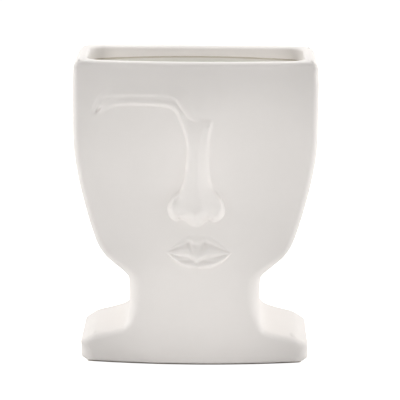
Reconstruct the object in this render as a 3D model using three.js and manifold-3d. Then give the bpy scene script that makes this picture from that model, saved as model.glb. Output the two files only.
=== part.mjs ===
// A matte white face vase: a slab-like ceramic head on a neck and shoulders, hollow and open at the top,
// with a glassy coat inside and four thin pads under the base. Millimetres, +Z up, the face looks along -Y.
import * as THREE from "three";
import { mergeVertices } from "three/addons/utils/BufferGeometryUtils.js";
import Module from "manifold-3d";

// Widths and depths of the ceramic body
const headWidth = 164.6;
const jawCornerWidth = 131.9;
const neckWidth = 89;
const baseWidth = 157.2;
const bodyDepth = 65;
const frontCrown = 8;
const backCrown = 2.4;

// The pads under the base
const padDiameter = 14;
const padThickness = 1.4;
const padEndInset = 12;
const padEdgeInset = 11;

// Stretches of the body from its underside up, each standing on the one before
const baseRise = 11.6;
const shoulderRise = 14;
const lowerNeckRise = 25;
const upperNeckRise = 12;
const jawRise = 20;
const cheekRise = 66;
const foreheadRise = 60;
const shoulderTilt = 0.9;

// Rounded edges
const edgeRadius = 4;
const neckEdgeRadius = 9;
const baseEndRadius = 8;
const backEdgeRadius = 7;
const rimOuterRadius = 2.5;
const rimInnerRadius = 1.8;
const rimCornerRadius = 5;
const baseEdgeRadius = 2;
const baseCornerRadius = 2;

// The hollow
const wallThickness = 8.6;
const floorThickness = 9;
const hollowCornerRadius = 9;
const hollowFloorRadius = 6;
const hollowFootFlare = 5;

// The glassy coat inside
const glazeThickness = 0.8;
const glazeClearance = 0.3;
const glazeLineDrop = 6.6;
const glazeLineSag = 2;

// The face: the mouth below the corners of the jaw, the nose above the mouth, and heights of the relief
const mouthDrop = 6;
const noseGap = 20.4;
const noseHeight = 7.8;
const nostrilDepth = 1.6;
const wingPitDepth = 1.3;
const browLipHeight = 1.8;
const browPitDepth = 1.7;
const foreheadLipHeight = 0.8;
const eyeHollowDepth = 0.6;
const upperLipHeight = 2.8;
const lowerLipHeight = 3;
const philtrumDepth = 1;
const lipPitDepth = 1.3;

// Heights above the table
const underside = padThickness;
const shoulderEndHeight = underside + baseRise;
const shoulderRootHeight = shoulderEndHeight + shoulderRise;
const neckHeight = shoulderRootHeight + lowerNeckRise;
const jawRootHeight = neckHeight + upperNeckRise;
const jawCornerHeight = jawRootHeight + jawRise;
const cheekHeight = jawCornerHeight + cheekRise;
const rimHeight = cheekHeight + foreheadRise;
const mouthHeight = jawCornerHeight - mouthDrop;
const noseFootHeight = mouthHeight + noseGap;

// Small helpers for curves and blends
const degrees = (angle) => (angle * Math.PI) / 180;
const blend = (low, high, value) => THREE.MathUtils.smoothstep(value, low, high);
const spread = (from, to, steps) =>
  Array.from({ length: steps }, (_, i) => from + ((to - from) * i) / steps);

// A smooth function through [input, output] knots, flat beyond the ends, without overshoot
function through(knots) {
  const gap = (i) => knots[i + 1][0] - knots[i][0];
  const slope = (i) => (knots[i + 1][1] - knots[i][1]) / gap(i);
  const tangent = knots.map((_, i) => {
    if (i === 0 || i === knots.length - 1) return 0;
    const before = slope(i - 1);
    const after = slope(i);
    return before * after <= 0 ? 0 : (2 * before * after) / (before + after);
  });
  return (input) => {
    if (input <= knots[0][0]) return knots[0][1];
    const last = knots.length - 1;
    if (input >= knots[last][0]) return knots[last][1];
    let i = 0;
    while (input > knots[i + 1][0]) i += 1;
    const t = (input - knots[i][0]) / gap(i);
    const rise = knots[i + 1][1] - knots[i][1];
    const bend = gap(i) * (tangent[i] + tangent[i + 1]) - 2 * rise;
    const lift = 3 * rise - gap(i) * (2 * tangent[i] + tangent[i + 1]);
    return knots[i][1] + t * (gap(i) * tangent[i] + t * (lift + t * bend));
  };
}

// How far a rounded edge has turned back at a distance from the edge
function roundOff(distance, radius) {
  const inside = radius - Math.min(Math.max(distance, 0), radius);
  return radius - Math.sqrt(radius * radius - inside * inside);
}

// Half the width of the body at a height, as seen from the front
const shoulderRun = (baseWidth - neckWidth) / 2;
const halfWidthAt = through([
  [shoulderEndHeight, baseWidth / 2 - 0.4],
  [shoulderEndHeight + 0.26 * shoulderRise, baseWidth / 2 - 0.14 * shoulderRun],
  [shoulderEndHeight + 0.44 * shoulderRise, baseWidth / 2 - 0.27 * shoulderRun],
  [shoulderEndHeight + 0.62 * shoulderRise, baseWidth / 2 - 0.57 * shoulderRun],
  [shoulderEndHeight + 0.8 * shoulderRise, baseWidth / 2 - 0.81 * shoulderRun],
  [shoulderRootHeight - 0.8, neckWidth / 2 + 3.2],
  [shoulderRootHeight + 4.3, neckWidth / 2 + 0.6],
  [neckHeight, neckWidth / 2],
  [jawRootHeight - 3.5, neckWidth / 2 + 0.5],
  [jawRootHeight + 0.6, neckWidth / 2 + 3.7],
  [jawRootHeight + 6.2, neckWidth / 2 + 10.1],
  [jawCornerHeight - 7.8, jawCornerWidth / 2 - 5],
  [jawCornerHeight, jawCornerWidth / 2],
  [jawCornerHeight + 7, jawCornerWidth / 2 + 2.7],
  [cheekHeight - 40, headWidth / 2 - 8],
  [cheekHeight - 18, headWidth / 2 - 3],
  [cheekHeight, headWidth / 2 - 0.5],
  [cheekHeight + 14, headWidth / 2],
  [rimHeight - 20, headWidth / 2],
  [rimHeight, headWidth / 2 - 0.8],
]);

// The outline of one side, -1 for left and 1 for right, with the shoulders tilted down to the right
function outline(side, height, shoulderDrop) {
  const tilt = side * shoulderDrop * blend(underside, shoulderEndHeight, height);
  const level = height + tilt * (1 - blend(shoulderRootHeight, neckHeight, height));
  const corners =
    roundOff(rimHeight - height, rimCornerRadius) + roundOff(height - underside, baseCornerRadius);
  return halfWidthAt(level) - corners;
}

// The outlines of the front and the back, with points along both sides for distances from the edge
const outlineSteps = 240;
function outlineWith(shoulderDrop) {
  const width = (side, z) => outline(side, z, shoulderDrop);
  const heights = spread(underside, rimHeight, outlineSteps).concat(rimHeight);
  const chains = new Map([-1, 1].map((side) => [side, heights.map((z) => [side * width(side, z), z])]));
  return { width, chains };
}
const frontOutline = outlineWith(shoulderTilt);
const backOutline = outlineWith(0);

// Distance from a point to a chain of points, the side it lies on (left of the way is positive),
// and the share of the way along
function nearest(chain, x, z) {
  let best = { distance: Infinity, signed: 0, share: 0 };
  for (let i = 0; i + 1 < chain.length; i += 1) {
    const [ax, az] = chain[i];
    const [ux, uz] = [chain[i + 1][0] - ax, chain[i + 1][1] - az];
    const t = THREE.MathUtils.clamp(((x - ax) * ux + (z - az) * uz) / (ux * ux + uz * uz), 0, 1);
    const [dx, dz] = [x - ax - t * ux, z - az - t * uz];
    const distance = Math.hypot(dx, dz);
    if (distance < best.distance) {
      const turn = Math.sign(ux * dz - uz * dx);
      best = { distance, signed: turn * distance, share: (i + t) / (chain.length - 1) };
    }
  }
  return best;
}

// Edge radius of the front: larger at the ends of the base, and along the neck, where it has grown in full
// this far below its waist, and as small as the rim's at the top corners
const neckEdgeStart = 8;
function frontEdgeRadius(z) {
  const base = 1 - blend(shoulderEndHeight - baseRise / 2, shoulderEndHeight + shoulderRise / 4, z);
  const grown = blend(shoulderRootHeight, neckHeight - neckEdgeStart, z);
  const shrunk = blend(neckHeight, jawCornerHeight, z);
  const top = blend(rimHeight - 2 * rimCornerRadius, rimHeight, z);
  const extra = [
    [baseEndRadius, base],
    [neckEdgeRadius, grown * (1 - shrunk)],
    [rimOuterRadius, top],
  ];
  return extra.reduce((sum, [radius, share]) => sum + (radius - edgeRadius) * share, edgeRadius);
}

// How far the front or back has turned back from its full depth near the outline, rim and base
function edgeDrop(form, x, z, sideRadius) {
  const chain = form.chains.get(x < 0 ? -1 : 1);
  return Math.max(
    roundOff(nearest(chain, x, z).distance, sideRadius),
    roundOff(rimHeight - z, rimOuterRadius),
    roundOff(z - underside, baseEdgeRadius),
  );
}

// A smooth chain of points through a few given ones
function chainThrough(points, steps) {
  const curve = new THREE.CatmullRomCurve3(points.map(([x, z]) => new THREE.Vector3(x, 0, z)));
  return curve.getSpacedPoints(steps).map((p) => [p.x, p.z]);
}

// Lines of the face, as places across and heights above the nose's foot: the brow from its left tip, the
// nose's contour down its left side, along its underside and up its right side, and the forehead's edge
const browPoints = [
  [-67, 75.6], [-60.5, 78.9], [-54.5, 82.4], [-46, 83.5], [-34, 83.6], [-22, 83.2], [-16.2, 82],
];
const noseLeftPoints = [
  [-12.8, 79.4], [-9, 71.2], [-6.4, 62], [-5.4, 53], [-6.3, 40], [-8, 30.4], [-10.6, 24.8],
  [-15, 20.4], [-18, 13.4], [-16.4, 7.2], [-11.8, 4.6],
];
const noseUnderPoints = [
  [-8.6, 5.7], [-5.4, 4.2], [-2.4, 1.9], [0.8, 1.2], [4, 1.9], [7, 4.2], [9.4, 5.5],
];
const noseRightPoints = [
  [11.8, 4.2], [15.9, 5], [19, 8], [20, 12.6], [18, 19.4], [14.4, 23.9], [11.7, 28.6], [9.9, 35],
  [9.2, 45], [9.3, 56], [10.2, 66.6], [11.8, 74.4],
];
const foreheadPoints = [
  [-67.6, 76.4], [-65, 82.2], [-60.6, 87.6], [-52, 89.5], [-36, 90], [-20, 89.8], [-13.4, 88],
  [-9.8, 82.8], [-6, 77.4], [-1.6, 74], [4, 72.2], [9, 71.4],
];

// The brow line runs on as the left contour of the nose and round its left wing
const browLine = chainThrough([...browPoints, ...noseLeftPoints], 160);
const noseLine = chainThrough([...noseLeftPoints, ...noseUnderPoints, ...noseRightPoints], 180);
const noseTipLine = chainThrough(noseRightPoints.slice(-4), 40);
const foreheadLine = chainThrough(foreheadPoints, 120);

// The nose by height above its foot: its contours, its crest and its height
const noseLeftContour = through(noseLeftPoints.map(([x, up]) => [up, x]).reverse());
const noseRightContour = through(noseRightPoints.map(([x, up]) => [up, x]));
const noseCrest = through([[0, 0.6], [12, 0.6], [52, 0.7], [60, 2], [67, 4.4], [75, 8.4]]);
const noseRise = through([
  [9, 1], [13, 1], [19, 0.88], [30, 0.72], [43, 0.56], [55, 0.4], [65, 0.21], [76, 0],
]);

// Its flanks from the crest out to the contour, at the tip and up the bridge
const tipLeftFlank = through([[0, 1], [0.3, 0.9], [0.6, 0.73], [0.85, 0.62], [1, 0.56]]);
const tipRightFlank = through([[0, 1], [0.2, 0.96], [0.45, 0.78], [0.7, 0.62], [1, 0.54]]);
const bridgeLeftFlank = through([[0, 1], [0.15, 0.995], [0.4, 0.93], [0.8, 0.79], [1, 0.7], [1.4, 0.4]]);
const bridgeRightFlank = through([[0, 1], [0.12, 0.99], [0.3, 0.88], [0.5, 0.74], [1, 0.28], [1.25, 0.05]]);
const bridgeStart = [14, 30];

// The wall along its contour, and how far in it reaches: furthest under the round tip
const wallSection = through([[-0.12, 0], [0.1, 0.32], [0.3, 0.63], [0.6, 0.88], [1, 1]]);
const sideReach = through([[4, 4.8], [9, 4.4], [14, 2.8], [18, 1.8], [60, 1.7], [76, 1.5]]);
const tipReach = 9;
const tipHalfWidth = 9;
const tipEnd = [12, 22];

function noseRelief(x, up) {
  const crest = noseCrest(up);
  const left = (crest - x) / (crest - noseLeftContour(up));
  const right = (x - crest) / (noseRightContour(up) - crest);
  const bridge = left > 0 ? bridgeLeftFlank(left) : bridgeRightFlank(right);
  const tip = left > 0 ? tipLeftFlank(left) : tipRightFlank(right);
  const section = THREE.MathUtils.lerp(tip, bridge, blend(...bridgeStart, up));
  const under = Math.exp(-(((x - crest) / tipHalfWidth) ** 4)) * (1 - blend(...tipEnd, up));
  const reach = THREE.MathUtils.lerp(sideReach(up), tipReach, under);
  return noseHeight * noseRise(up) * section * wallSection(nearest(noseLine, x, up).signed / reach);
}

// A soft round or long pit, 1 at its centre, turned from level by an angle in degrees
const noTurn = 0;
const turnCentre = new THREE.Vector2();
function pit(x, up, centre, reach, turn) {
  const way = new THREE.Vector2(x - centre[0], up - centre[1]).rotateAround(turnCentre, -degrees(turn));
  return Math.exp(-((way.x / reach[0]) ** 2) - (way.y / reach[1]) ** 2);
}

// The lips from left to right, with heights from the mouth's corners
const lipTop = through([
  [-19.4, 3.1], [-15, 5.6], [-11.5, 7.6], [-8, 9.4], [-4, 10.8], [2.4, 10.2], [9, 10.8], [14, 8.8],
  [19, 5.8], [25, 2.7],
]);
const lipParting = through([
  [-19.4, 2.8], [-9.5, 0.5], [-5, -0.1], [-1.5, -2.2], [1.4, -4], [4.8, -2.6], [8.4, -0.5], [13.5, 0.3],
  [25, 2.4],
]);
const lipBottom = through([
  [-19.4, 2.4], [-13.5, -2.6], [-8.4, -5.9], [-3, -7.4], [2.5, -7.8], [9, -7.5], [14.5, -5.8], [21, -1.6],
  [25, 2],
]);
const lipFullness = through([[-20, 0], [-15, 0.75], [-6, 1], [11, 1], [20, 0.75], [25.6, 0]]);
const upperLipSection = through([[0, 0.6], [0.24, 1], [0.5, 0.84], [0.88, 0.08], [1, 0.2], [1.35, 0]]);
const lowerLipSection = through([[0, 0.56], [0.3, 0.8], [0.66, 1], [0.84, 0.8], [1.04, 0.1], [1.2, 0]]);

// The round groove in the upper lip, and two pits under the parting
const philtrumMiddle = [1.4, 10];
const philtrumReach = [5.3, 6.6];
const philtrumGroove = 0.3;
const philtrumEnd = [9.5, 12.5];
const philtrumSides = [0.2, 0.8];
const philtrumLeast = 0.3;
const lipPitCentres = [[-5.6, -2.5], [8.4, -2.5]];
const lipPitReach = [4, 1.5];

function lipRelief(x, up) {
  const parting = lipParting(x);
  const lip =
    up > parting
      ? upperLipHeight * upperLipSection((up - parting) / (lipTop(x) - parting))
      : lowerLipHeight * lowerLipSection((parting - up) / (parting - lipBottom(x)));
  const across = (x - philtrumMiddle[0]) / philtrumReach[0];
  const below = Math.min(0, up - philtrumMiddle[1]) / philtrumReach[1];
  const fromLine = (Math.hypot(across, below) - 1) / philtrumGroove;
  const sides = THREE.MathUtils.lerp(philtrumLeast, 1, blend(...philtrumSides, Math.abs(across)));
  const groove = Math.exp(-(fromLine ** 2)) * (1 - blend(...philtrumEnd, up)) * sides;
  const [leftPit, rightPit] = lipPitCentres.map((centre) => pit(x, up, centre, lipPitReach, noTurn));
  return lipFullness(x) * lip - philtrumDepth * groove - lipPitDepth * (leftPit + rightPit);
}

// The raised edge beside the brow line and the nose's upper right side, steep on its outer side
const raisedEdge = through([[-1.4, 0], [1.4, 1], [2, 1], [4.2, 0.64], [5.6, 0.56], [12, 0]]);
const browAlong = through([[0, 0], [0.03, 0.25], [0.1, 0.7], [0.17, 1], [0.42, 1], [0.5, 0.6], [0.6, 0]]);
const tipAlong = through([[0, 0], [0.5, 0.5], [0.85, 0.8], [1, 0]]);

// The forehead's edge above the brow, which falls away slowly upwards
const foreheadWall = [-1.2, 1];
const foreheadCrest = 1.4;
const foreheadFall = through([[0, 1.5], [0.15, 3], [0.3, 9]]);
const foreheadAlong = through([
  [0, 0], [0.05, 0.35], [0.15, 0.6], [0.25, 1], [0.55, 1], [0.75, 1.4], [0.85, 1.1], [0.97, 0],
]);

// The eye's hollow, which ends in the brow's wall and at the brow's left tip
const eyeCentre = [-36, 77];
const eyeReach = [24, 12];
const eyeWall = [-1.4, 1.5];
const eyeEnd = [-66, -38];

// Pits at the brow's left tip, the nose's upper right tip and its left wing, and the nostrils: each with
// its centre, reach and turn
const browPit = [[-65, 78.9], [3, 1.1], 48];
const noseTipPit = [[8.6, 70.4], [1.7, 1.2], noTurn];
const noseTipPitShare = 0.35;
const wingPit = [[-11, 20.4], [3.8, 1.9], 45];
const leftNostril = [[-9.6, 7.4], [1.9, 1], noTurn];
const rightNostril = [[9.9, 6.4], [1.4, 1.8], noTurn];
const rightNostrilShare = 0.5;

// Height of the face above the plain front at a place
function faceRelief(x, z) {
  const up = z - noseFootHeight;
  const brow = nearest(browLine, x, up);
  const tip = nearest(noseTipLine, x, up);
  const forehead = nearest(foreheadLine, x, up);
  const browEdge = raisedEdge(brow.signed) * browAlong(brow.share);
  const tipEdge = raisedEdge(tip.signed) * tipAlong(tip.share);
  const fall = blend(0, foreheadFall(forehead.share), forehead.signed - foreheadCrest);
  const foreheadLip = blend(...foreheadWall, forehead.signed) * (1 - fall) * foreheadAlong(forehead.share);
  const eyeFade = (1 - blend(...eyeWall, brow.signed)) * blend(...eyeEnd, x);
  const eye = pit(x, up, eyeCentre, eyeReach, noTurn) * eyeFade;
  const browPits = pit(x, up, ...browPit) + noseTipPitShare * pit(x, up, ...noseTipPit);
  const nostrils = pit(x, up, ...leftNostril) + rightNostrilShare * pit(x, up, ...rightNostril);
  return (
    noseRelief(x, up) +
    browLipHeight * (browEdge + tipEdge) +
    foreheadLipHeight * foreheadLip -
    eyeHollowDepth * eye -
    browPitDepth * browPits -
    nostrilDepth * nostrils -
    wingPitDepth * pit(x, up, ...wingPit) +
    lipRelief(x, z - mouthHeight)
  );
}

// The front and back faces of the body
const crownAt = (crown, x) => crown * (1 - (x / (headWidth / 2)) ** 2);
const frontFace = (x, z) =>
  -bodyDepth / 2 -
  crownAt(frontCrown, x) +
  edgeDrop(frontOutline, x, z, frontEdgeRadius(z)) -
  faceRelief(x, z);
const backFace = (x, z) =>
  bodyDepth / 2 + crownAt(backCrown, x) - edgeDrop(backOutline, x, z, backEdgeRadius);

// A closed solid over rings of points that follow each other, with flat ends
function loft(rings) {
  const count = rings[0].length;
  const corners = rings.flat(2);
  const index = [];
  for (let r = 0; r + 1 < rings.length; r += 1)
    for (let i = 0; i < count; i += 1) {
      const a = r * count + i;
      const b = r * count + ((i + 1) % count);
      index.push(a, b, b + count, a, b + count, a + count);
    }
  const cap = (ring, first, turned) => {
    const flat = ring.map(([x, y]) => new THREE.Vector2(x, y));
    for (const [a, b, c] of THREE.ShapeUtils.triangulateShape(flat, []))
      index.push(first + a, first + (turned ? c : b), first + (turned ? b : c));
  };
  cap(rings[0], 0, true);
  cap(rings[rings.length - 1], (rings.length - 1) * count, false);
  return new THREE.BufferGeometry()
    .setAttribute("position", new THREE.Float32BufferAttribute(corners, 3))
    .setIndex(index);
}

// Places across the middle of the front: even below the nose, gathered along its contours above
const faceHalf = neckWidth / 2 - neckEdgeRadius - 1;
const faceSteps = 32;
const gatherStart = 8;
function faceColumns(z) {
  const up = z - noseFootHeight;
  const gathered = new THREE.Path(
    [
      [0, -faceHalf],
      [8, noseLeftContour(up) - 2],
      [13, noseLeftContour(up) + 2],
      [18, noseCrest(up)],
      [23, noseRightContour(up) - 1],
      [26, noseRightContour(up) + 2],
      [faceSteps, faceHalf],
    ].map(([column, x]) => new THREE.Vector2(column, x)),
  );
  const share = blend(-gatherStart, 0, up);
  const legs = gathered.curves;
  return Array.from({ length: faceSteps + 1 }, (_, column) => {
    const leg = legs.find((line) => column <= line.v2.x);
    const t = (column - leg.v1.x) / (leg.v2.x - leg.v1.x);
    const even = -faceHalf + (2 * faceHalf * column) / faceSteps;
    return THREE.MathUtils.lerp(even, THREE.MathUtils.lerp(leg.v1.y, leg.v2.y, t), share);
  });
}

// The rings bend with the brow and the lips, so that their edges follow the face
const browBend = through([[-80, 0], ...browPoints.map(([x, up]) => [x, up - browPoints[1][1]]), [-6, 0]]);
const browBelow = [62, 80];
const browAbove = [87, 99];
const lipLevels = [-11, -7, -1, 7, 14];
const lipSteps = [2, 4, 5, 3];
const lipNear = (x) => blend(-31, -21, x) * (1 - blend(25, 33, x));
const leastLip = 2.5;

function bentHeight(x, z) {
  const up = z - noseFootHeight;
  const level = z - mouthHeight;
  const next = lipLevels.findIndex((limit) => level < limit);
  if (next < 1) return z + browBend(x) * blend(...browBelow, up) * (1 - blend(...browAbove, up));
  const parting = lipParting(x);
  const follow = [
    lipLevels[0],
    Math.min(lipBottom(x), parting - leastLip),
    parting,
    Math.max(lipTop(x), parting + leastLip),
    lipLevels[4],
  ];
  const share = (level - lipLevels[next - 1]) / (lipLevels[next] - lipLevels[next - 1]);
  const bent = THREE.MathUtils.lerp(follow[next - 1], follow[next], share);
  return mouthHeight + THREE.MathUtils.lerp(level, bent, lipNear(x));
}

// Places from the middle of the body out to one side at a height, closer over the rounded edge
const edgeShares = [1, 0.5, 0.13, 0];
function outwards(form, side, z, radius, steps) {
  const width = form.width(side, z);
  const outer = spread(faceHalf, width - radius, steps).slice(1);
  return outer.concat(edgeShares.map((share) => width - share * radius)).map((x) => side * x);
}

// Heights of the body's rings, closer where the outline turns and over the face: each row gives where
// a stretch starts and how many steps it has
const bodyStretches = [
  [underside + baseEdgeRadius, 2],
  [shoulderEndHeight, 8],
  [shoulderRootHeight, 5],
  [neckHeight, 4],
  ...lipSteps.map((steps, i) => [mouthHeight + lipLevels[i], steps]),
  [mouthHeight + lipLevels[4], 2],
  [noseFootHeight - 1, 11],
  [noseFootHeight + 22, 9],
  [noseFootHeight + 70, 14],
  [noseFootHeight + 93, 3],
  [rimHeight - rimOuterRadius, 0],
];
const bodyHeights = [
  ...[0, 0.15, 0.5].map((share) => underside + share * baseEdgeRadius),
  ...bodyStretches.slice(1).flatMap(([end], i) => spread(bodyStretches[i][0], end, bodyStretches[i][1])),
  ...[1, 0.5, 0.15, 0].map((share) => rimHeight - share * rimOuterRadius),
];

// One ring of the body: the front from left to right, then the back from right to left
const leftSteps = 7;
const rightSteps = 3;
function bodyRing(z) {
  const radius = frontEdgeRadius(z);
  const front = [
    ...outwards(frontOutline, -1, z, radius, leftSteps).reverse(),
    ...faceColumns(z),
    ...outwards(frontOutline, 1, z, radius, rightSteps),
  ];
  const back = [
    ...outwards(backOutline, -1, z, backEdgeRadius, 1).reverse(),
    ...[-faceHalf, 0, faceHalf],
    ...outwards(backOutline, 1, z, backEdgeRadius, 1),
  ];
  return [
    ...front.map((x) => [x, frontFace(x, bentHeight(x, z)), bentHeight(x, z)]),
    ...back.reverse().map((x) => [x, backFace(x, z), z]),
  ];
}

// The hollow: rounded rectangles that keep the wall's thickness, down to a rounded floor
const hollowFloor = underside + floorThickness;
const cornerAngles = [90, 60, 30, 0];

function hollowHalfWidth(z) {
  const flare = hollowFootFlare * (1 - blend(hollowFloor, neckHeight, z));
  const outside = z < neckHeight ? neckWidth / 2 + flare : halfWidthAt(z);
  return outside - wallThickness;
}

function hollowRing(z, inset) {
  const turn = hollowCornerRadius - inset;
  const straight = hollowHalfWidth(z) - inset - turn;
  const depthAt = (x, crown) => bodyDepth / 2 + crownAt(crown, x) - wallThickness - inset;
  const corner = (crown) =>
    cornerAngles.map((angle) => [
      straight + turn * Math.sin(degrees(angle)),
      depthAt(straight, crown) - turn * (1 - Math.cos(degrees(angle))),
    ]);
  const face = (crown) => [
    ...corner(crown).map(([x, y]) => [-x, y]),
    ...[-0.5, 0, 0.5].map((share) => [share * straight, depthAt(share * straight, crown)]),
    ...corner(crown).reverse(),
  ];
  const front = face(frontCrown).map(([x, y]) => [x, -y, z]);
  const back = face(backCrown).map(([x, y]) => [-x, y, z]);
  return [...front, ...back];
}

// The hollow's rings from its floor up, drawn in by an inset
const hollowHeights = [
  ...spread(hollowFloor + hollowFloorRadius, neckHeight, 3),
  ...spread(neckHeight, jawRootHeight, 2),
  ...spread(jawRootHeight, jawCornerHeight, 4),
  ...spread(jawCornerHeight, cheekHeight, 3),
  ...spread(cheekHeight, rimHeight - glazeLineDrop - 2 * glazeLineSag, 3),
];
function hollowRings(inset) {
  const radius = hollowFloorRadius - inset;
  const floor = [0, 30, 60].map((angle) => {
    const rise = radius * (1 - Math.cos(degrees(angle)));
    return hollowRing(hollowFloor + inset + rise, inset + radius * (1 - Math.sin(degrees(angle))));
  });
  return [...floor, ...hollowHeights.map((z) => hollowRing(z, inset))];
}

// The ceramic body: the outer form with the hollow cut out of it, its mouth rounded inside
const mouthAngles = [0, 25, 50, 75];
const cutAbove = 5;
const mouthRings = mouthAngles.map((angle) => {
  const drop = rimInnerRadius * (1 - Math.sin(degrees(angle)));
  return hollowRing(rimHeight - drop, -rimInnerRadius * (1 - Math.cos(degrees(angle))));
});
const cutTop = hollowRing(rimHeight + cutAbove, -rimInnerRadius);
const hollowForm = loft([...hollowRings(0), ...mouthRings, cutTop]);

const wasm = await Module();
wasm.setup();

function solid(geometry) {
  const merged = mergeVertices(geometry);
  return new wasm.Manifold(
    new wasm.Mesh({
      numProp: 3,
      vertProperties: merged.attributes.position.array,
      triVerts: new Uint32Array(merged.index.array),
    }),
  );
}

function cut(from, by) {
  const mesh = solid(from).subtract(solid(by)).getMesh();
  return new THREE.BufferGeometry()
    .setAttribute("position", new THREE.BufferAttribute(mesh.vertProperties, 3))
    .setIndex(new THREE.BufferAttribute(mesh.triVerts, 1));
}

const ceramicGeometry = cut(loft(bodyHeights.map(bodyRing)), hollowForm);

// The coat inside: the hollow's own shape, up to a line that sags towards the corners
function glazeRings(inset) {
  const half = headWidth / 2 - wallThickness;
  const sagAt = (x) => glazeLineSag * (x / half) ** 2;
  const line = hollowRing(rimHeight - glazeLineDrop, inset).map(([x, y, z]) => [x, y, z - sagAt(x)]);
  return [...hollowRings(inset), line];
}
const glazeGeometry = loft([
  ...glazeRings(glazeClearance),
  ...glazeRings(glazeClearance + glazeThickness).reverse(),
]);

// Materials
const ceramic = new THREE.MeshStandardMaterial({ color: "#e6e2dd", roughness: 0.75, metalness: 0 });
const glaze = new THREE.MeshStandardMaterial({ color: "#ddd8cb", roughness: 0.2, metalness: 0 });
const padRubber = new THREE.MeshStandardMaterial({ color: "#5c5347", roughness: 0.9, metalness: 0 });

// Assembly
const vase = new THREE.Group();
const addPiece = (name, geometry, material) => {
  geometry.computeVertexNormals();
  const mesh = new THREE.Mesh(geometry, material);
  mesh.name = name;
  vase.add(mesh);
  return mesh;
};
addPiece("vase_body", ceramicGeometry, ceramic);
addPiece("interior_glaze", glazeGeometry, glaze);

const padSides = 32;
for (const [depthName, depthSide] of [["front", -1], ["back", 1]])
  for (const [sideName, side] of [["left", -1], ["right", 1]]) {
    const geometry = new THREE.CylinderGeometry(padDiameter / 2, padDiameter / 2, padThickness, padSides);
    const pad = addPiece(`foot_pad_${depthName}_${sideName}`, geometry, padRubber.clone());
    const across = side * (baseWidth / 2 - padEndInset);
    const deep = depthSide * (bodyDepth / 2 - padEdgeInset);
    pad.rotation.x = degrees(90);
    pad.position.set(across, deep, padThickness / 2);
  }

// The origin is the middle of the vase's footprint on the table, nose and back alike
const reach = new THREE.Box3().setFromObject(vase);
vase.position.y = -(reach.min.y + reach.max.y) / 2;

export default vase;
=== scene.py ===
import math

import bpy
import numpy as np
from mathutils import Matrix, Vector


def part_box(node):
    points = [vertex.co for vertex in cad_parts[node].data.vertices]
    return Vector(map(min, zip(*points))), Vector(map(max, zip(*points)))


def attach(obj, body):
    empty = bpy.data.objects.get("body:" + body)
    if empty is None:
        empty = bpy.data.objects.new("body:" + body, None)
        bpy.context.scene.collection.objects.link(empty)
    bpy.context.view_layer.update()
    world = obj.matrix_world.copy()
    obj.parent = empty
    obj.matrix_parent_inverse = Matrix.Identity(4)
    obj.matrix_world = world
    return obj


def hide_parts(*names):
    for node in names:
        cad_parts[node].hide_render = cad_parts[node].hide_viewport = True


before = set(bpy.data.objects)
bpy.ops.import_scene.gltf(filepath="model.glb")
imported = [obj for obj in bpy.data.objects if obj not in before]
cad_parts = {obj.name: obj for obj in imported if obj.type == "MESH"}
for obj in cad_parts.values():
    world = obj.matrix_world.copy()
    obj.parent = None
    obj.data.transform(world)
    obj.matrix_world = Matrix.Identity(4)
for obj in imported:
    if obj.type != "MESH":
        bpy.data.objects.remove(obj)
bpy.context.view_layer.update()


# The ceramic body: one hollow slip-cast form with head, neck and shoulders, fired without a glaze outside.
# The clay is about 9 mm thick at the open rim, and its edges are sponged round before firing. The low face
# is part of the cast wall. Lengths here are in millimetres, with heights above the table.
MM = 0.001
body_low, body_high = (np.array(corner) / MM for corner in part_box("vase_body"))
underside = body_low[2]
rim_height = body_high[2]
head_width = body_high[0] - body_low[0]
body_depth = 65
front_crown = 8
back_crown = 2.4
middle_y = body_high[1] - body_depth / 2 - back_crown

jaw_corner_width = 131.9
neck_width = 89
base_width = 157.2
base_rise = 11.6
shoulder_end_height = underside + base_rise
shoulder_rise = 14
shoulder_root_height = shoulder_end_height + shoulder_rise
lower_neck_rise = 25
neck_height = shoulder_root_height + lower_neck_rise
upper_neck_rise = 12
jaw_root_height = neck_height + upper_neck_rise
jaw_rise = 20
jaw_corner_height = jaw_root_height + jaw_rise
cheek_rise = 66
cheek_height = jaw_corner_height + cheek_rise
shoulder_tilt = 0.9

edge_radius = 4
neck_edge_radius = 9
neck_edge_start = 8
base_end_radius = 8
back_edge_radius = 7
rim_outer_radius = 2.5
rim_inner_radius = 1.8
rim_corner_radius = 5
base_edge_radius = 2
base_corner_radius = 2

wall_thickness = 8.6
floor_thickness = 9
hollow_corner_radius = 9
hollow_floor_radius = 6
hollow_foot_flare = 5


def blend(low, high, value):
    """A soft step from 0 at low to 1 at high."""
    t = np.clip((value - low) / (high - low), 0, 1)
    return t * t * (3 - 2 * t)


def through(knots):
    """A smooth curve through (place, value) knots, flat beyond the ends, without overshoot."""
    at, value = np.array(knots, float).T
    gap = np.diff(at)
    slope = np.diff(value) / gap
    before, after = slope[:-1], slope[1:]
    tangent = np.zeros(len(at))
    rising = before * after > 0
    tangent[1:-1][rising] = 2 * (before * after)[rising] / (before + after)[rising]

    def curve(where):
        where = np.clip(where, at[0], at[-1])
        i = np.clip(np.searchsorted(at, where) - 1, 0, len(gap) - 1)
        t = (where - at[i]) / gap[i]
        rise = value[i + 1] - value[i]
        bend = gap[i] * (tangent[i] + tangent[i + 1]) - 2 * rise
        lift = 3 * rise - gap[i] * (2 * tangent[i] + tangent[i + 1])
        return value[i] + t * (gap[i] * tangent[i] + t * (lift + t * bend))

    return curve


def round_off(distance, radius):
    """How far a rounded edge has turned back at a distance from the edge."""
    inside = radius - np.clip(distance, 0, radius)
    return radius - np.sqrt(radius**2 - inside**2)


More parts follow.
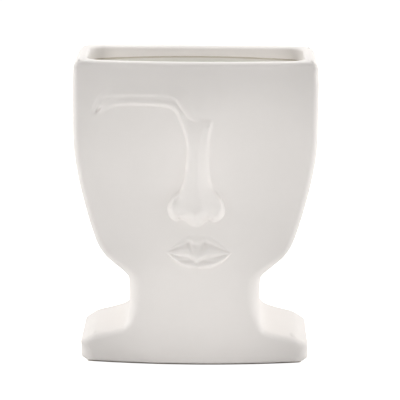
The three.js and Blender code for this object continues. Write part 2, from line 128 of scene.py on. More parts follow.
shoulder_run = (base_width - neck_width) / 2
half_width_at = through([
    (shoulder_end_height, base_width / 2 - 0.4),
    (shoulder_end_height + 0.26 * shoulder_rise, base_width / 2 - 0.14 * shoulder_run),
    (shoulder_end_height + 0.44 * shoulder_rise, base_width / 2 - 0.27 * shoulder_run),
    (shoulder_end_height + 0.62 * shoulder_rise, base_width / 2 - 0.57 * shoulder_run),
    (shoulder_end_height + 0.8 * shoulder_rise, base_width / 2 - 0.81 * shoulder_run),
    (shoulder_root_height - 0.8, neck_width / 2 + 3.2),
    (shoulder_root_height + 4.3, neck_width / 2 + 0.6),
    (neck_height, neck_width / 2),
    (jaw_root_height - 3.5, neck_width / 2 + 0.5),
    (jaw_root_height + 0.6, neck_width / 2 + 3.7),
    (jaw_root_height + 6.2, neck_width / 2 + 10.1),
    (jaw_corner_height - 7.8, jaw_corner_width / 2 - 5),
    (jaw_corner_height, jaw_corner_width / 2),
    (jaw_corner_height + 7, jaw_corner_width / 2 + 2.7),
    (cheek_height - 40, head_width / 2 - 8),
    (cheek_height - 18, head_width / 2 - 3),
    (cheek_height, head_width / 2 - 0.5),
    (cheek_height + 14, head_width / 2),
    (rim_height - 20, head_width / 2),
    (rim_height, head_width / 2 - 0.8),
])


def outline(side, z, shoulder_drop):
    """Half the width of one side, -1 for left and 1 for right, with the shoulders tilted to the right."""
    tilt = side * shoulder_drop * blend(underside, shoulder_end_height, z)
    level = z + tilt * (1 - blend(shoulder_root_height, neck_height, z))
    corners = round_off(rim_height - z, rim_corner_radius) + round_off(z - underside, base_corner_radius)
    return half_width_at(level) - corners


def front_edge_radius(z):
    """The front edge is rounder at the ends of the base and along the neck, and finer at the rim."""
    base = 1 - blend(shoulder_end_height - base_rise / 2, shoulder_end_height + shoulder_rise / 4, z)
    grown = blend(shoulder_root_height, neck_height - neck_edge_start, z)
    shrunk = blend(neck_height, jaw_corner_height, z)
    neck = grown * (1 - shrunk)
    top = blend(rim_height - 2 * rim_corner_radius, rim_height, z)
    extra = ((base_end_radius, base), (neck_edge_radius, neck), (rim_outer_radius, top))
    return edge_radius + sum((radius - edge_radius) * share for radius, share in extra)


def nearest(line, x, z):
    """Signed distance to a line of points, positive on the left of its way, and the share of the way."""
    best = np.full(x.shape, np.inf)
    signed = np.zeros(x.shape)
    share = np.zeros(x.shape)
    for i, ((ax, az), (bx, bz)) in enumerate(zip(line[:-1], line[1:])):
        ux, uz = bx - ax, bz - az
        t = np.clip(((x - ax) * ux + (z - az) * uz) / (ux * ux + uz * uz), 0, 1)
        dx, dz = x - ax - t * ux, z - az - t * uz
        distance = np.hypot(dx, dz)
        closer = distance < best
        best = np.where(closer, distance, best)
        signed = np.where(closer, np.sign(ux * dz - uz * dx) * distance, signed)
        share = np.where(closer, (i + t) / (len(line) - 1), share)
    return signed, share


outline_steps = 420


def edge_drop(x, z, shoulder_drop, side_radius):
    """How far the front or back has turned back near the outline, the rim and the base."""
    heights = np.linspace(underside, rim_height, outline_steps)
    sides = [np.stack([side * outline(side, heights, shoulder_drop), heights], 1) for side in (-1, 1)]
    left, right = (np.abs(nearest(line, x, z)[0]) for line in sides)
    from_side = np.where(x < 0, left, right)
    return np.maximum.reduce([
        round_off(from_side, side_radius),
        round_off(rim_height - z, rim_outer_radius),
        round_off(z - underside, base_edge_radius),
    ])


# The face: a brow that runs on as one side of the nose, the nose with its wings and nostrils, and the lips.
# It stands a few millimetres proud of the cast front, with crisp edges. Places across are from the middle of
# the vase, and heights are from the foot of the nose or from the corners of the mouth.
mouth_drop = 6
mouth_height = jaw_corner_height - mouth_drop
nose_gap = 20.4
nose_foot_height = mouth_height + nose_gap
nose_height = 7.8
nostril_depth = 1.6
wing_pit_depth = 1.3
brow_lip_height = 1.8
brow_pit_depth = 1.7
forehead_lip_height = 0.8
eye_hollow_depth = 0.6
upper_lip_height = 2.8
lower_lip_height = 3
philtrum_depth = 1
lip_pit_depth = 1.3
line_samples = 20


def smooth_line(points, steps):
    """Evenly spaced places along a smooth line through a few points."""
    points = np.array(points, float)
    leg = np.hypot(*np.diff(points, axis=0).T)
    at = np.concatenate([[0], np.cumsum(np.sqrt(leg))])
    slope = np.gradient(points, at, axis=0)
    fine = np.linspace(0, at[-1], line_samples * steps)
    i = np.clip(np.searchsorted(at, fine) - 1, 0, len(leg) - 1)
    gap = np.diff(at)[i, None]
    t = (fine - at[i])[:, None] / gap
    rise = points[i + 1] - points[i]
    bend = gap * (slope[i] + slope[i + 1]) - 2 * rise
    lift = 3 * rise - gap * (2 * slope[i] + slope[i + 1])
    line = points[i] + t * (gap * slope[i] + t * (lift + t * bend))
    length = np.concatenate([[0], np.cumsum(np.hypot(*np.diff(line, axis=0).T))])
    even = np.linspace(0, length[-1], steps + 1)
    return np.stack([np.interp(even, length, column) for column in line.T], 1)


def pit(x, up, centre, reach, turn=0.0):
    """A soft round or long pit, 1 at its centre, turned from level by an angle in degrees."""
    along = np.array([math.cos(math.radians(turn)), math.sin(math.radians(turn))])
    dx, dz = x - centre[0], up - centre[1]
    u = (dx * along[0] + dz * along[1]) / reach[0]
    v = (dz * along[0] - dx * along[1]) / reach[1]
    return np.exp(-(u * u) - v * v)


brow_points = [(-67, 75.6), (-60.5, 78.9), (-54.5, 82.4), (-46, 83.5), (-34, 83.6), (-22, 83.2), (-16.2, 82)]
nose_left_points = [
    (-12.8, 79.4), (-9, 71.2), (-6.4, 62), (-5.4, 53), (-6.3, 40), (-8, 30.4), (-10.6, 24.8),
    (-15, 20.4), (-18, 13.4), (-16.4, 7.2), (-11.8, 4.6),
]
nose_under_points = [(-8.6, 5.7), (-5.4, 4.2), (-2.4, 1.9), (0.8, 1.2), (4, 1.9), (7, 4.2), (9.4, 5.5)]
nose_right_points = [
    (11.8, 4.2), (15.9, 5), (19, 8), (20, 12.6), (18, 19.4), (14.4, 23.9), (11.7, 28.6), (9.9, 35),
    (9.2, 45), (9.3, 56), (10.2, 66.6), (11.8, 74.4),
]
forehead_points = [
    (-67.6, 76.4), (-65, 82.2), (-60.6, 87.6), (-52, 89.5), (-36, 90), (-20, 89.8), (-13.4, 88),
    (-9.8, 82.8), (-6, 77.4), (-1.6, 74), (4, 72.2), (9, 71.4),
]
brow_line = smooth_line(brow_points + nose_left_points, 240)
nose_line = smooth_line(nose_left_points + nose_under_points + nose_right_points, 280)
nose_tip_line = smooth_line(nose_right_points[-4:], 60)
forehead_line = smooth_line(forehead_points, 180)

left_contour = through([(up, x) for x, up in nose_left_points[::-1]])
right_contour = through([(up, x) for x, up in nose_right_points])
nose_crest = through([(0, 0.6), (12, 0.6), (52, 0.7), (60, 2), (67, 4.4), (75, 8.4)])
nose_rise = through([(9, 1), (13, 1), (19, 0.88), (30, 0.72), (43, 0.56), (55, 0.4), (65, 0.21), (76, 0)])
tip_left_flank = through([(0, 1), (0.3, 0.9), (0.6, 0.73), (0.85, 0.62), (1, 0.56)])
tip_right_flank = through([(0, 1), (0.2, 0.96), (0.45, 0.78), (0.7, 0.62), (1, 0.54)])
bridge_left_flank = through([(0, 1), (0.15, 0.995), (0.4, 0.93), (0.8, 0.79), (1, 0.7), (1.4, 0.4)])
bridge_right_flank = through([(0, 1), (0.12, 0.99), (0.3, 0.88), (0.5, 0.74), (1, 0.28), (1.25, 0.05)])
side_reach = through([(4, 4.8), (9, 4.4), (14, 2.8), (18, 1.8), (60, 1.7), (76, 1.5)])
wall_section = through([(-0.12, 0), (0.1, 0.32), (0.3, 0.63), (0.6, 0.88), (1, 1)])
tip_reach = 9
tip_middle = 0.6
tip_half_width = 9
tip_end = (12, 22)
bridge_start = (14, 30)


def nose_relief(x, up):
    """The bridge, tip and wings, ended by a wall along the nose's contour."""
    crest = nose_crest(up)
    left = (crest - x) / (crest - left_contour(up))
    right = (x - crest) / (right_contour(up) - crest)
    bridge = np.where(left > 0, bridge_left_flank(left), bridge_right_flank(right))
    tip = np.where(left > 0, tip_left_flank(left), tip_right_flank(right))
    section = tip + (bridge - tip) * blend(*bridge_start, up)
    under = np.exp(-(((x - tip_middle) / tip_half_width) ** 4)) * (1 - blend(*tip_end, up))
    reach = side_reach(up) + (tip_reach - side_reach(up)) * under
    return nose_height * nose_rise(up) * section * wall_section(nearest(nose_line, x, up)[0] / reach)


lip_top = through([
    (-19.4, 3.1), (-15, 5.6), (-11.5, 7.6), (-8, 9.4), (-4, 10.8), (2.4, 10.2), (9, 10.8), (14, 8.8),
    (19, 5.8), (25, 2.7),
])
lip_parting = through([
    (-19.4, 2.8), (-9.5, 0.5), (-5, -0.1), (-1.5, -2.2), (1.4, -4), (4.8, -2.6), (8.4, -0.5), (13.5, 0.3),
    (25, 2.4),
])
lip_bottom = through([
    (-19.4, 2.4), (-13.5, -2.6), (-8.4, -5.9), (-3, -7.4), (2.5, -7.8), (9, -7.5), (14.5, -5.8), (21, -1.6),
    (25, 2),
])
lip_fullness = through([(-20, 0), (-15, 0.75), (-6, 1), (11, 1), (20, 0.75), (25.6, 0)])
upper_lip_section = through([(0, 0.6), (0.24, 1), (0.5, 0.84), (0.88, 0.08), (1, 0.2), (1.35, 0)])
lower_lip_section = through([(0, 0.56), (0.3, 0.8), (0.66, 1), (0.84, 0.8), (1.04, 0.1), (1.2, 0)])
philtrum_middle = (1.4, 10)
philtrum_reach = (5.3, 6.6)
philtrum_groove = 0.3
philtrum_end = (9.5, 12.5)
philtrum_sides = (0.2, 0.8)
philtrum_least = 0.3
lip_pit_centres = ((-5.6, -2.5), (8.4, -2.5))
lip_pit_reach = (4, 1.5)


def lip_relief(x, up):
    """Both lips on each side of their parting, with a round groove in the upper one and two pits."""
    parting = lip_parting(x)
    upper = upper_lip_height * upper_lip_section((up - parting) / (lip_top(x) - parting))
    lower = lower_lip_height * lower_lip_section((parting - up) / (parting - lip_bottom(x)))
    aside = (x - philtrum_middle[0]) / philtrum_reach[0]
    from_middle = np.hypot(aside, np.minimum(0, up - philtrum_middle[1]) / philtrum_reach[1])
    groove = np.exp(-(((from_middle - 1) / philtrum_groove) ** 2)) * (1 - blend(*philtrum_end, up))
    groove *= philtrum_least + (1 - philtrum_least) * blend(*philtrum_sides, np.abs(aside))
    pits = sum(pit(x, up, centre, lip_pit_reach) for centre in lip_pit_centres)
    return (
        lip_fullness(x) * np.where(up > parting, upper, lower)
        - philtrum_depth * groove
        - lip_pit_depth * pits
    )


raised_edge = through([(-1.4, 0), (1.4, 1), (2, 1), (4.2, 0.64), (5.6, 0.56), (12, 0)])
brow_along = through([(0, 0), (0.03, 0.25), (0.1, 0.7), (0.17, 1), (0.42, 1), (0.5, 0.6), (0.6, 0)])
tip_along = through([(0, 0), (0.5, 0.5), (0.85, 0.8), (1, 0)])
forehead_along = through([
    (0, 0), (0.05, 0.35), (0.15, 0.6), (0.25, 1), (0.55, 1), (0.75, 1.4), (0.85, 1.1), (0.97, 0),
])
forehead_fall = through([(0, 1.5), (0.15, 3), (0.3, 9)])
forehead_wall = (-1.2, 1)
forehead_crest = 1.4
eye_centre = (-36, 77)
eye_reach = (24, 12)
eye_wall = (-1.4, 1.5)
eye_end = (-66, -38)

# Pits, each with its centre, reach and turn
brow_pit = ((-65, 78.9), (3, 1.1), 48)
nose_tip_pit = ((8.6, 70.4), (1.7, 1.2))
nose_tip_pit_share = 0.35
wing_pit = ((-11, 20.4), (3.8, 1.9), 45)
left_nostril = ((-9.6, 7.4), (1.9, 1))
right_nostril = ((9.9, 6.4), (1.4, 1.8))
right_nostril_share = 0.5


def face_relief(x, z):
    """Height of the face above the plain front."""
    up = z - nose_foot_height
    brow, brow_share = nearest(brow_line, x, up)
    tip, tip_share = nearest(nose_tip_line, x, up)
    forehead, forehead_share = nearest(forehead_line, x, up)
    edges = raised_edge(brow) * brow_along(brow_share) + raised_edge(tip) * tip_along(tip_share)
    fall = blend(0, 1, (forehead - forehead_crest) / forehead_fall(forehead_share))
    lip = blend(*forehead_wall, forehead) * (1 - fall)
    eye = pit(x, up, eye_centre, eye_reach) * (1 - blend(*eye_wall, brow)) * blend(*eye_end, x)
    nostrils = pit(x, up, *left_nostril) + right_nostril_share * pit(x, up, *right_nostril)
    brow_pits = pit(x, up, *brow_pit) + nose_tip_pit_share * pit(x, up, *nose_tip_pit)
    return (
        nose_relief(x, up)
        + brow_lip_height * edges
        + forehead_lip_height * lip * forehead_along(forehead_share)
        - eye_hollow_depth * eye
        - brow_pit_depth * brow_pits
        - nostril_depth * nostrils
        - wing_pit_depth * pit(x, up, *wing_pit)
        + lip_relief(x, z - mouth_height)
    )


# Rings of points make the body: up the outside, over the rim and down the hollow to its floor.
def crown_at(crown, x):
    """How far a face of the vase bulges at a place across, with its crown in the middle."""
    return crown * (1 - (x / (head_width / 2)) ** 2)


def outer_front(x, z):
    """Depth of the front, with its rounded edges and the face."""
    drop = edge_drop(x, z, shoulder_tilt, front_edge_radius(z))
    return -body_depth / 2 - crown_at(front_crown, x) + drop - face_relief(x, z)


def outer_back(x, z):
    """Depth of the plain back, with its rounded edges."""
    return body_depth / 2 + crown_at(back_crown, x) - edge_drop(x, z, 0, back_edge_radius)


edge_turn = np.linspace(0, math.pi / 2, 8)


def across(left, right, radius, steps):
    """Places from the left outline to the right one, closer together over the rounded edges."""
    inward = radius[:, None] * (1 - np.cos(edge_turn))
    start = -left[:, None] + inward
    end = right[:, None] - inward[:, ::-1]
    share = np.linspace(0, 1, steps + 2)[1:-1]
    middle = start[:, -1:] + (end[:, :1] - start[:, -1:]) * share
    return np.concatenate([start, middle, end], 1)


front_steps = 320
back_steps = 70
wall_steps = 5


def closed_rings(front, back):
    """Joins front places, from left to right, and back places by the walls between their ends."""
    share = np.linspace(0, 1, wall_steps + 2)[1:-1, None]
    right = front[:, -1:] + (back[:, -1:] - front[:, -1:]) * share
    left = back[:, :1] + (front[:, :1] - back[:, :1]) * share
    return np.concatenate([front, right, back[:, ::-1], left], 1)


def stacked(*stretches):
    """Heights for rings, from (start, end, step) stretches that follow each other."""
    rows = [np.linspace(start, end, max(2, round((end - start) / step)), endpoint=False)
            for start, end, step in stretches]
    return np.concatenate(rows)


# Rings lie closer together over the shoulders, mouth, nose, brow and rim
outer_heights = np.concatenate([
    underside + base_edge_radius * (1 - np.cos(edge_turn))[:-1],
    stacked(
        (underside + base_edge_radius, shoulder_end_height, 1.2),
        (shoulder_end_height, shoulder_root_height + 6, 0.5),
        (shoulder_root_height + 6, mouth_height - 12, 1.4),
        (mouth_height - 12, nose_foot_height + 26, 0.5),
        (nose_foot_height + 26, nose_foot_height + 62, 1),
        (nose_foot_height + 62, nose_foot_height + 94, 0.45),
        (nose_foot_height + 94, rim_height - 2 * rim_corner_radius, 1.6),
        (rim_height - 2 * rim_corner_radius, rim_height - rim_outer_radius, 0.6),
    ),
    rim_height - rim_outer_radius * (1 - np.sin(edge_turn)),
])


def levels(z, x):
    """The height of each ring, once for each of its places across."""
    return np.repeat(z[:, None], x.shape[1], 1)


def outer_rings(z):
    """Rings around the outside, with the shoulders tilted at the front only."""
    front_ends, back_ends = ([outline(side, z, drop) for side in (-1, 1)] for drop in (shoulder_tilt, 0))
    front_x = across(*front_ends, front_edge_radius(z), front_steps)
    back_x = across(*back_ends, np.full(z.shape, back_edge_radius), back_steps)
    front_z, back_z = (levels(z, x) for x in (front_x, back_x))
    front = np.stack([front_x, outer_front(front_x, front_z), front_z], 2)
    back = np.stack([back_x, outer_back(back_x, back_z), back_z], 2)
    return closed_rings(front, back)


hollow_floor = underside + floor_thickness


def hollow_half_width(z):
    """Half the hollow's width, one wall inside the head and neck, and a little wider at its foot."""
    flare = hollow_foot_flare * (1 - blend(hollow_floor, neck_height, z))
    outside = np.where(z < neck_height, neck_width / 2 + flare, half_width_at(z))
    return outside - wall_thickness


def hollow_rings(z, inset):
    """Rounded rectangles that keep the wall's thickness, drawn in by an inset."""
    half = hollow_half_width(z) - inset
    radius = hollow_corner_radius - inset
    front_x = across(half, half, radius, front_steps)
    back_x = across(half, half, radius, back_steps)

    def face(x, crown):
        depth = body_depth / 2 + crown_at(crown, x) - wall_thickness - inset[:, None]
        return depth - round_off(half[:, None] - np.abs(x), radius[:, None])

    front = np.stack([front_x, -face(front_x, front_crown), levels(z, front_x)], 2)
    back = np.stack([back_x, face(back_x, back_crown), levels(z, back_x)], 2)
    return closed_rings(front, back)


hollow_turn = np.linspace(math.pi / 2, 0, 7)


def hollow_floor_rings(inset):
    """The rounded corner between the hollow's floor and its walls, from the wall down."""
    radius = hollow_floor_radius - inset
    rise = radius * (1 - np.cos(hollow_turn))
    return hollow_rings(hollow_floor + inset + rise, inset + radius * (1 - np.sin(hollow_turn)))


def new_piece(name, places, faces):
    """A mesh object in the scene, from places in metres."""
    mesh = bpy.data.meshes.new(name)
    mesh.from_pydata(places, [], faces)
    piece = bpy.data.objects.new(name, mesh)
    bpy.context.scene.collection.objects.link(piece)
    return piece


def piece_of_rings(name, rings):
    """A closed smooth piece over rings that follow each other, with flat ends."""
    count = rings.shape[1]
    lower = np.arange((len(rings) - 1) * count).reshape(-1, count)
    along = np.roll(lower, -1, axis=1)
    sides = np.stack([lower, along, along + count, lower + count], 2).reshape(-1, 4)
    first = list(range(count))[::-1]
    last = list(range((len(rings) - 1) * count, len(rings) * count))
    piece = new_piece(name, rings.reshape(-1, 3).tolist(), sides.tolist() + [first, last])
    piece.data.shade_smooth()
    return piece


end_share = 0.9


def cast_form(name, rings):
    """A closed form, with a smaller ring in each flat end so that the shading stays flat there."""
    first, last = (rings[[i]] * (end_share, end_share, 1) for i in (0, -1))
    return piece_of_rings(name, (np.concatenate([first, rings, last]) + (0, middle_y, 0)) * MM)


rim_rings = hollow_rings(
    rim_height - rim_inner_radius * (1 - np.sin(hollow_turn)),
    -rim_inner_radius * (1 - np.cos(hollow_turn)),
)
hollow_heights = stacked((hollow_floor + hollow_floor_radius, rim_height - rim_inner_radius, 2.5))[::-1]
body = cast_form("ceramic_body", np.concatenate([
    outer_rings(outer_heights),
    rim_rings,
    hollow_rings(hollow_heights, np.zeros(hollow_heights.shape)),
    hollow_floor_rings(0.0),
]))


def new_material(name):
    """A material with its node tree and its Principled shader."""
    material = bpy.data.materials.new(name)
    material.use_nodes = True
    tree = material.node_tree
    shader = tree.nodes["Principled BSDF"]
    return material, tree, shader


def feed(tree, socket, value):
    """Sets an input, or links it to another node's output."""
    if isinstance(value, bpy.types.NodeSocket):
        tree.links.new(value, socket)
    else:
        socket.default_value = value


def add_node(tree, kind, **inputs):
    """A node of a kind, with its named inputs set or linked."""
    node = tree.nodes.new(kind)
    for name, value in inputs.items():
        feed(tree, node.inputs[name.replace("_", " ")], value)
    return node


def add_tone(tree, mask, dark, light, start=0.0, end=1.0):
    """A colour that goes from dark to light by a mask."""
    ramp = add_node(tree, "ShaderNodeValToRGB", Fac=mask)
    for element, position, colour in zip(ramp.color_ramp.elements, (start, end), (dark, light)):
        element.position = position
        element.color = (*colour, 1)
    return ramp.outputs["Color"]


def clay_group():
    """Fine fired clay: a faint cloudiness of tone and a fine grain, by their noise scales per metre."""
    group = bpy.data.node_groups.new("fired clay", "ShaderNodeTree")
    for name in ("Cloud Scale", "Grain Scale"):
        group.interface.new_socket(name, in_out="INPUT", socket_type="NodeSocketFloat")
    for name in ("Cloud", "Grain"):
        group.interface.new_socket(name, in_out="OUTPUT", socket_type="NodeSocketFloat")
    start = group.nodes.new("NodeGroupInput")
    end = group.nodes.new("NodeGroupOutput")
    place = add_node(group, "ShaderNodeTexCoord")
    cloud = add_node(group, "ShaderNodeTexNoise", Vector=place.outputs["Object"],
                     Scale=start.outputs["Cloud Scale"], Detail=3.0, Roughness=0.55)
    grain = add_node(group, "ShaderNodeTexNoise", Vector=place.outputs["Object"],
                     Scale=start.outputs["Grain Scale"], Detail=2.0, Roughness=0.6)
    feed(group, end.inputs["Cloud"], cloud.outputs["Fac"])
    feed(group, end.inputs["Grain"], grain.outputs["Fac"])
    return group


clay = clay_group()


def add_clay(tree, cloud_scale, grain_scale):
    """The fired clay in a material's node tree."""
    node = tree.nodes.new("ShaderNodeGroup")
    node.node_tree = clay
    node.inputs["Cloud Scale"].default_value = cloud_scale
    node.inputs["Grain Scale"].default_value = grain_scale
    return node


matte_white, tree, shader = new_material("matte white ceramic")
clay_dark = (0.825, 0.789, 0.757)
clay_light = (0.845, 0.808, 0.777)
clay_node = add_clay(tree, cloud_scale=28.0, grain_scale=1500.0)
tone = add_tone(tree, clay_node.outputs["Cloud"], clay_dark, clay_light, start=0.3, end=0.7)
feed(tree, shader.inputs["Base Color"], tone)
rough = add_node(tree, "ShaderNodeMapRange", Value=clay_node.outputs["Grain"], To_Min=0.52, To_Max=0.66)
feed(tree, shader.inputs["Roughness"], rough.outputs["Result"])
grain_bump = add_node(tree, "ShaderNodeBump", Height=clay_node.outputs["Grain"], Strength=0.06,
                      Distance=0.0002)
feed(tree, shader.inputs["Normal"], grain_bump.outputs["Normal"])
body.data.materials.append(matte_white)
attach(body, "root")
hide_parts("vase_body")


# The coat of clear glaze inside makes the hollow watertight. It is poured in and out before firing, so its
# upper edge is a thin rolled line that waves a little below the rim. The shade under that edge is painted as
# a thin brown band.
glaze_thickness = 0.8
glaze_clearance = 0.3
glaze_line_drop = 6.6
glaze_line_sag = 2
glaze_half = head_width / 2 - wall_thickness
glaze_top = rim_height - glaze_line_drop
# Height of the brown band painted as shade under the glaze's rolled upper edge
shade_band_height = 0.9
edge_roll = 0.15


def glaze_rings(inset):
    """The hollow's own shape, from the wavy line down to its floor."""
    below = stacked((hollow_floor + hollow_floor_radius, glaze_top - edge_roll, 3))
    heights = np.append(below, (glaze_top - edge_roll, glaze_top))[::-1]
    walls = hollow_rings(heights, np.full(heights.shape, inset))
    sag = glaze_line_sag * (walls[:, :, 0] / glaze_half) ** 2
    walls[:, :, 2] -= sag * blend(cheek_height, glaze_top, walls[:, :, 2])
    return np.concatenate([walls, hollow_floor_rings(inset)])


glaze = cast_form("clear_glaze", np.concatenate([
    glaze_rings(glaze_clearance)[::-1],
    glaze_rings(glaze_clearance + glaze_thickness),
]))


def add_math(tree, operation, *values):
    """The result of a sum on numbers or on other nodes' outputs."""
    node = tree.nodes.new("ShaderNodeMath")
    node.operation = operation
    for socket, value in zip(node.inputs, values):
        feed(tree, socket, value)
    return node.outputs["Value"]


glossy_clear, tree, shader = new_material("glossy clear glaze")
glaze_dark = (0.74, 0.72, 0.66)
glaze_light = (0.76, 0.74, 0.69)
# Colour of the painted shade along the glaze's upper edge
shade_band_brown = (0.5, 0.44, 0.36, 1)
clay_node = add_clay(tree, cloud_scale=40.0, grain_scale=900.0)
tone = add_tone(tree, clay_node.outputs["Cloud"], glaze_dark, glaze_light, start=0.3, end=0.7)
place = add_node(tree, "ShaderNodeTexCoord")
axes = add_node(tree, "ShaderNodeSeparateXYZ", Vector=place.outputs["Object"])
squared = add_math(tree, "MULTIPLY", axes.outputs["X"], axes.outputs["X"])
sag_bend = glaze_line_sag / (glaze_half ** 2 * MM)
level = add_math(tree, "MULTIPLY_ADD", squared, sag_bend, axes.outputs["Z"])
# Painted shade: a brown band under the glaze's rolled upper edge, which follows the line's sag and fades out
# below it.
edge_start, edge_full = ((glaze_top - share * shade_band_height) * MM for share in (1.5, 0.5))
fired = add_node(tree, "ShaderNodeMapRange", Value=level, From_Min=edge_start, From_Max=edge_full)
edged = tree.nodes.new("ShaderNodeMix")
edged.data_type = "RGBA"
colours = [socket for socket in edged.inputs if socket.type == "RGBA"]
feed(tree, edged.inputs["Factor"], fired.outputs["Result"])
feed(tree, colours[0], tone)
feed(tree, colours[1], shade_band_brown)
blended = next(socket for socket in edged.outputs if socket.type == "RGBA")
feed(tree, shader.inputs["Base Color"], blended)
shader.inputs["Roughness"].default_value = 0.22
glaze.data.materials.append(glossy_clear)
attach(glaze, "root")
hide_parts("interior_glaze")


# The four pads under the base are thin discs of brown rubber, pressed on with glue. They keep the fired clay
# from scratching the table.
pad_names = [f"foot_pad_{end}_{side}" for end in ("front", "back") for side in ("left", "right")]
pad_rubber, tree, shader = new_material("brown pad rubber")
rubber_dark = (0.085, 0.068, 0.048)
rubber_light = (0.14, 0.115, 0.085)
clay_node = add_clay(tree, cloud_scale=300.0, grain_scale=2500.0)
tone = add_tone(tree, clay_node.outputs["Grain"], rubber_dark, rubber_light)
feed(tree, shader.inputs["Base Color"], tone)
shader.inputs["Roughness"].default_value = 0.85
pad_edge = 0.3 * MM
pad_turn = np.linspace(0, math.pi / 2, 5)
pad_round = np.linspace(0, 2 * math.pi, 64, endpoint=False)
by_sine, by_cosine = (pad_edge * (1 - share) for share in (np.sin(pad_turn), np.cos(pad_turn)))
for name in pad_names:
    low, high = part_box(name)
    centre = (low + high) / 2
    radius = (high.x - low.x) / 2
    thick = high.z - low.z
    profile = np.concatenate([
        np.stack([radius - by_sine, by_cosine], 1),
        np.stack([radius - by_cosine, thick - by_sine], 1),
    ])
    rings = np.stack([
        np.outer(profile[:, 0], np.cos(pad_round)),
        np.outer(profile[:, 0], np.sin(pad_round)),
        np.repeat(profile[:, 1:], len(pad_round), 1),
    ], 2)
    pad = piece_of_rings(name + "_disc", rings + (centre.x, centre.y, low.z))
    pad.data.materials.append(pad_rubber)
    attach(pad, "root")
    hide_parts(name)


# The floor is a plain white table top, painted matte, and twelve metres wide so that no edge shows. The
# camera sees it white, with the vase's shadow on it.
floor_half = 6.0
floor_corners = [(x * floor_half, y * floor_half, 0) for x, y in ((-1, -1), (1, -1), (1, 1), (-1, 1))]
floor = new_piece("table_top", floor_corners, [(0, 1, 2, 3)])


def table_paint(name, colour):
    """Matte paint of a plain colour, without gloss."""
    paint, tree, shader = new_material(name)
    shader.inputs["Base Color"].default_value = (*colour, 1)
    shader.inputs["Roughness"].default_value = 0.9
    shader.inputs["Specular IOR Level"].default_value = 0.0
    return paint, tree, shader


table_white, tree, shader = table_paint("white table", (0.85, 0.85, 0.85))
shader.inputs["Emission Color"].default_value = (1, 1, 1, 1)
seen_white = 0.85
seen = add_node(tree, "ShaderNodeLightPath")
glow = add_math(tree, "MULTIPLY", seen.outputs["Is Camera Ray"], seen_white)
feed(tree, shader.inputs["Emission Strength"], glow)
floor.data.materials.append(table_white)

# Under the vase the table lies in its shadow. The patch there lacks the white that the camera sees on the
# rest of the table, so the real shadow shows. Its colour is also painted darker and browner as shadow.
# Together they show as the line under the base.
patch_inset = 5
patch_edge = 3.5
patch_lift = 0.02
patch_steps = 41
patch_half = base_width / 2 - patch_inset
patch_x = np.linspace(-patch_half, patch_half, patch_steps)
fronts = middle_y - body_depth / 2 - crown_at(front_crown, patch_x) + patch_edge
backs = middle_y + body_depth / 2 + crown_at(back_crown, patch_x) - patch_edge
patch_rows = [*zip(patch_x, fronts), *zip(patch_x[::-1], backs[::-1])]
patch_places = [(x * MM, y * MM, patch_lift * MM) for x, y in patch_rows]
patch = new_piece("painted_shadow_under_vase", patch_places, [list(range(len(patch_places)))])
# Painted shadow: the patch is coloured darker and browner than the white table.
painted_table_shadow, tree, shader = table_paint("painted table shadow", (0.75, 0.69, 0.61))
patch.data.materials.append(painted_table_shadow)


# Light: softboxes beside, behind and above the vase that light its edges, a thin beam into the opening, and
# narrow spots on the cheeks, brow, chin, base, ends of the rim and table. The room is dim and is seen
# white. Places here are in metres.
world = bpy.data.worlds.new("white studio")
bpy.context.scene.world = world
world.use_nodes = True
world.cycles.sampling_method = "NONE"
tree = world.node_tree
background = tree.nodes["Background"]
seen = add_node(tree, "ShaderNodeLightPath")
direct = add_math(tree, "MAXIMUM", seen.outputs["Is Camera Ray"], seen.outputs["Is Glossy Ray"])
white = add_math(tree, "MAXIMUM", direct, seen.outputs["Is Transmission Ray"])
room_level = 0.175
level = add_node(tree, "ShaderNodeMapRange", Value=white, To_Min=room_level, To_Max=1.0)
feed(tree, background.inputs["Strength"], level.outputs["Result"])
background.inputs["Color"].default_value = (1, 1, 1, 1)


def place_lamp(lamp, place, aim):
    """Hangs a lamp at a place and turns it to a point."""
    holder = bpy.data.objects.new(lamp.name, lamp)
    bpy.context.scene.collection.objects.link(holder)
    holder.location = place
    holder.rotation_euler = (Vector(aim) - Vector(place)).to_track_quat("-Z", "Y").to_euler()


vase_middle = (0, 0, 0.12)


def softbox(name, place, width, height, power, aim=vase_middle, spread=180):
    """A rectangular area light, as a rule turned to the middle of the vase and spreading all round."""
    lamp = bpy.data.lights.new(name, "AREA")
    lamp.shape = "RECTANGLE"
    lamp.size = width
    lamp.size_y = height
    lamp.spread = math.radians(spread)
    lamp.energy = power
    place_lamp(lamp, place, aim)


spot_radius = 0.02


def spot(name, place, aim, cone, power):
    """A small spot with a soft-edged cone, in degrees."""
    lamp = bpy.data.lights.new(name, "SPOT")
    lamp.spot_size = math.radians(cone)
    lamp.spot_blend = 1
    lamp.shadow_soft_size = spot_radius
    lamp.energy = power
    place_lamp(lamp, place, aim)


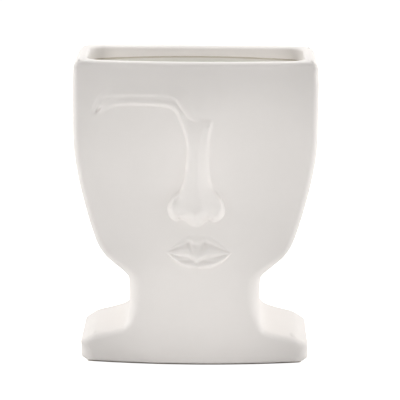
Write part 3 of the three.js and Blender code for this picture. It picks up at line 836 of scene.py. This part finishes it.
softbox("left softbox", (-0.7, -0.2, 0.3), 0.8, 0.8, 1.7)
softbox("right softbox", (0.7, -0.2, 0.3), 0.8, 0.8, 1.4)
softbox("left strip", (-0.9, 0, 0.2), 0.3, 0.6, 1.3)
softbox("right strip", (0.9, 0, 0.2), 0.3, 0.6, 2.1)
softbox("left high softbox", (-0.85, 0.25, 0.65), 0.7, 0.7, 4.1)
softbox("right high softbox", (0.85, 0.25, 0.65), 0.7, 0.7, 3.6)
softbox("back softbox", (0, 0.9, 0.7), 1.3, 0.8, 3)
softbox("top softbox", (0, -0.1, 1.4), 1, 1, 3.3)
spot("left cheek spot", (-0.25, -1.3, 0.25), (-0.036, 0, 0.14), 6.5, 7.6)
spot("right cheek spot", (0.25, -1.3, 0.25), (0.036, 0, 0.14), 6.5, 8)
spot("brow spot", (0, -1.34, 0.25), (0, 0, 0.172), 6.5, 4)
spot("chin spot", (0, -1.34, 0.2), (0, 0, 0.08), 6, 1.2)
spot("base spot", (0, -1.34, 0.2), (0, 0, 0.025), 7, 10)
softbox("opening beam", (0, -0.9, 0.57), 0.132, 0.016, 0.0035, aim=(0, 0.033, 0.2), spread=2)
spot("left end spot", (-0.5, 0.3, 1.1), (0.068, 0.005, 0.18), 6, 8)
spot("right end spot", (0.5, 0.3, 1.1), (-0.068, 0.005, 0.18), 6, 8)
spot("table spot", (0, -0.45, 1), (0, -0.28, 0), 26, 52)


# The camera stands a long way off and looks a little down, as a product camera does. Lengths here are in
# millimetres again, with the focal length and the shift in pixels of the picture.
picture_size = 400
focal_pixels = 1993
camera_distance = 1336
camera_height = 443
camera_yaw = math.radians(0.6)
camera_pitch = math.radians(14.11)
camera_roll = math.radians(0.28)
sideways_pixels = 4.5
lens = bpy.data.cameras.new("camera")
lens.sensor_fit = "HORIZONTAL"
lens.sensor_width = 36
lens.lens = lens.sensor_width * focal_pixels / picture_size
lens.shift_x = sideways_pixels / picture_size
lens.clip_end = 100
camera = bpy.data.objects.new("camera", lens)
bpy.context.scene.collection.objects.link(camera)
camera.location = (
    math.sin(camera_yaw) * camera_distance * MM,
    (middle_y - math.cos(camera_yaw) * camera_distance) * MM,
    camera_height * MM,
)
turns = [(camera_yaw, "Z"), (math.pi / 2 - camera_pitch, "X"), (camera_roll, "Z")]
yaw, pitch, roll = (Matrix.Rotation(angle, 3, axis) for angle, axis in turns)
camera.rotation_euler = (yaw @ pitch @ roll).to_euler()
bpy.context.scene.camera = camera
bpy.context.scene.view_settings.view_transform = "Standard"
